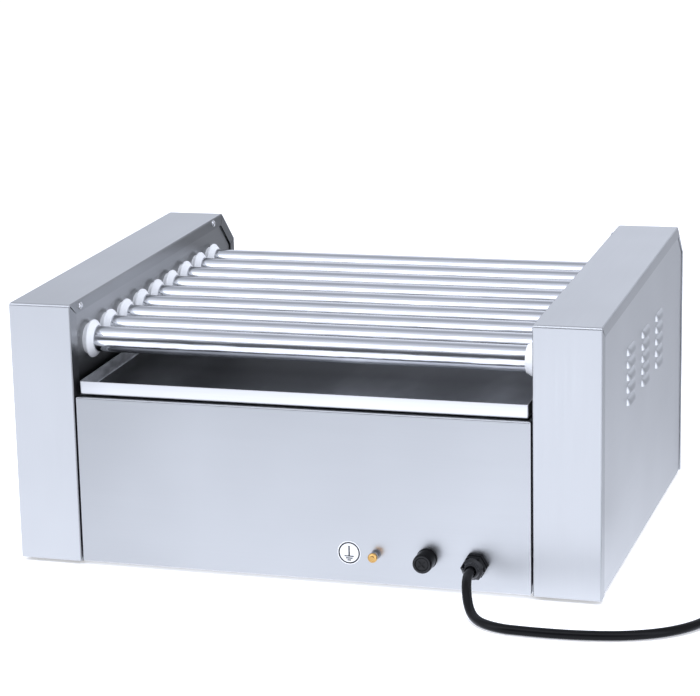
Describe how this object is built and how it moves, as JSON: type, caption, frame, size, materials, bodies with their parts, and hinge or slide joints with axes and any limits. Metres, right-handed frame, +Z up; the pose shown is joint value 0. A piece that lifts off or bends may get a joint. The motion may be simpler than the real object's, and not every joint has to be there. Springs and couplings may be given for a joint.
{
  "type": "hot dog roller grill",
  "caption": "Countertop roller grill: chrome rollers in white bushings between two louvred steel towers, with a sliding drip tray, front controls and a coiled mains cord.",
  "frame": {"origin": "on the table under the middle of the machine, halfway between the knobs' faces and the fuse cap's face", "axes": "+Z up, -Y towards the operator, +X to the operator's right"},
  "size_m": [0.8022, 0.5804, 0.281],
  "materials": {
    "stainless_sheet": "brushed",
    "rear_sheet": "satin",
    "side_sheet": "satin",
    "galvanised": "dull",
    "polished_tube": "polished",
    "tray_steel": "smooth",
    "white_plastic": "matt",
    "black_plastic": "matt",
    "black_rubber": "matt",
    "red_plastic": "glossy",
    "brass": "machined",
    "dark_steel": "oiled"
  },
  "bodies": {
    "cabinet": {"left_tower_wrap": "stainless_sheet", "right_tower_wrap": "stainless_sheet", "left_inner_panel": "stainless_sheet", "right_inner_panel": "stainless_sheet", "control_panel": "stainless_sheet", "rear_panel": "rear_sheet", "left_outer_panel": "side_sheet", "right_outer_panel": "side_sheet", "base_pan": "galvanised", "deck_plate": "galvanised", "left_bushing_1": "white_plastic", "left_bushing_2": "white_plastic", "left_bushing_3": "white_plastic", "left_bushing_4": "white_plastic", "left_bushing_5": "white_plastic", "left_bushing_6": "white_plastic", "left_bushing_7": "white_plastic", "left_bushing_8": "white_plastic", "left_bushing_9": "white_plastic", "right_bushing_1": "white_plastic", "right_bushing_2": "white_plastic", "right_bushing_3": "white_plastic", "right_bushing_4": "white_plastic", "right_bushing_5": "white_plastic", "right_bushing_6": "white_plastic", "right_bushing_7": "white_plastic", "right_bushing_8": "white_plastic", "right_bushing_9": "white_plastic", "earth_sign": "white_plastic", "cable_gland": "black_plastic", "fuse_holder": "black_plastic", "left_switch_bezel": "black_plastic", "right_switch_bezel": "black_plastic", "front_left_foot": "black_rubber", "front_right_foot": "black_rubber", "rear_left_foot": "black_rubber", "rear_right_foot": "black_rubber", "power_cord": "black_rubber", "cord_coil": "black_rubber", "power_plug": "black_rubber", "earth_stud": "brass", "gear_motor": "dark_steel", "drive_chain": "dark_steel"},
    "roller_1": {"roller_1": "polished_tube"},
    "roller_2": {"roller_2": "polished_tube"},
    "roller_3": {"roller_3": "polished_tube"},
    "roller_4": {"roller_4": "polished_tube"},
    "roller_5": {"roller_5": "polished_tube"},
    "roller_6": {"roller_6": "polished_tube"},
    "roller_7": {"roller_7": "polished_tube"},
    "roller_8": {"roller_8": "polished_tube"},
    "roller_9": {"roller_9": "polished_tube"},
    "motor_sprocket": {"motor_sprocket": "dark_steel"},
    "drip_tray": {"drip_tray": "tray_steel"},
    "left_heat_knob": {"left_heat_knob": "black_plastic"},
    "right_heat_knob": {"right_heat_knob": "black_plastic"},
    "left_rocker": {"left_switch_rocker": "red_plastic"},
    "right_rocker": {"right_switch_rocker": "red_plastic"},
    "fuse_cap": {"fuse_cap": "black_plastic"}
  },
  "joints": [
    {"name": "roller_1_spin", "type": "hinge", "parent": "cabinet", "child": "roller_1", "pos_m": [0, 0.1855, 0.2183], "axis": [1, 0, 0], "continuous": true},
    {"name": "roller_2_spin", "type": "hinge", "parent": "cabinet", "child": "roller_2", "pos_m": [0, 0.1435, 0.22042], "axis": [1, 0, 0], "continuous": true},
    {"name": "roller_3_spin", "type": "hinge", "parent": "cabinet", "child": "roller_3", "pos_m": [0, 0.1015, 0.22253], "axis": [1, 0, 0], "continuous": true},
    {"name": "roller_4_spin", "type": "hinge", "parent": "cabinet", "child": "roller_4", "pos_m": [0, 0.0595, 0.22465], "axis": [1, 0, 0], "continuous": true},
    {"name": "roller_5_spin", "type": "hinge", "parent": "cabinet", "child": "roller_5", "pos_m": [0, 0.0175, 0.22677], "axis": [1, 0, 0], "continuous": true},
    {"name": "roller_6_spin", "type": "hinge", "parent": "cabinet", "child": "roller_6", "pos_m": [0, -0.0245, 0.22888], "axis": [1, 0, 0], "continuous": true},
    {"name": "roller_7_spin", "type": "hinge", "parent": "cabinet", "child": "roller_7", "pos_m": [0, -0.0665, 0.231], "axis": [1, 0, 0], "continuous": true},
    {"name": "roller_8_spin", "type": "hinge", "parent": "cabinet", "child": "roller_8", "pos_m": [0, -0.1085, 0.23312], "axis": [1, 0, 0], "continuous": true},
    {"name": "roller_9_spin", "type": "hinge", "parent": "cabinet", "child": "roller_9", "pos_m": [0, -0.1505, 0.23523], "axis": [1, 0, 0], "continuous": true},
    {"name": "motor_sprocket_spin", "type": "hinge", "parent": "cabinet", "child": "motor_sprocket", "pos_m": [0.238, -0.0685, 0.19129], "axis": [1, 0, 0], "continuous": true},
    {"name": "tray_slide", "type": "slide", "parent": "cabinet", "child": "drip_tray", "axis": [0, -0.9987, 0.0503], "range_m": [0, 0.4]},
    {"name": "left_heat_knob_turn", "type": "hinge", "parent": "cabinet", "child": "left_heat_knob", "pos_m": [-0.085, -0.23, 0.095], "axis": [0, 1, 0], "range_deg": [0, 270]},
    {"name": "left_rocker_tilt", "type": "hinge", "parent": "cabinet", "child": "left_rocker", "pos_m": [-0.185, -0.227, 0.095], "axis": [1, 0, 0], "range_deg": [0, 16]},
    {"name": "right_heat_knob_turn", "type": "hinge", "parent": "cabinet", "child": "right_heat_knob", "pos_m": [0.085, -0.23, 0.095], "axis": [0, 1, 0], "range_deg": [0, 270]},
    {"name": "right_rocker_tilt", "type": "hinge", "parent": "cabinet", "child": "right_rocker", "pos_m": [0.185, -0.227, 0.095], "axis": [1, 0, 0], "range_deg": [0, 16]},
    {"name": "fuse_cap_turn", "type": "hinge", "parent": "cabinet", "child": "fuse_cap", "pos_m": [-0.1254, 0.2303, 0.033], "axis": [0, 1, 0], "range_deg": [-90, 0]}
  ],
  "couplings": [
    {"joint": "roller_2_spin", "follows": "roller_1_spin", "ratio": 1},
    {"joint": "roller_3_spin", "follows": "roller_1_spin", "ratio": 1},
    {"joint": "roller_4_spin", "follows": "roller_1_spin", "ratio": 1},
    {"joint": "roller_5_spin", "follows": "roller_1_spin", "ratio": 1},
    {"joint": "roller_6_spin", "follows": "roller_1_spin", "ratio": 1},
    {"joint": "roller_7_spin", "follows": "roller_1_spin", "ratio": 1},
    {"joint": "roller_8_spin", "follows": "roller_1_spin", "ratio": 1},
    {"joint": "roller_9_spin", "follows": "roller_1_spin", "ratio": 1},
    {"joint": "motor_sprocket_spin", "follows": "roller_1_spin", "ratio": -1.25}
  ]
}
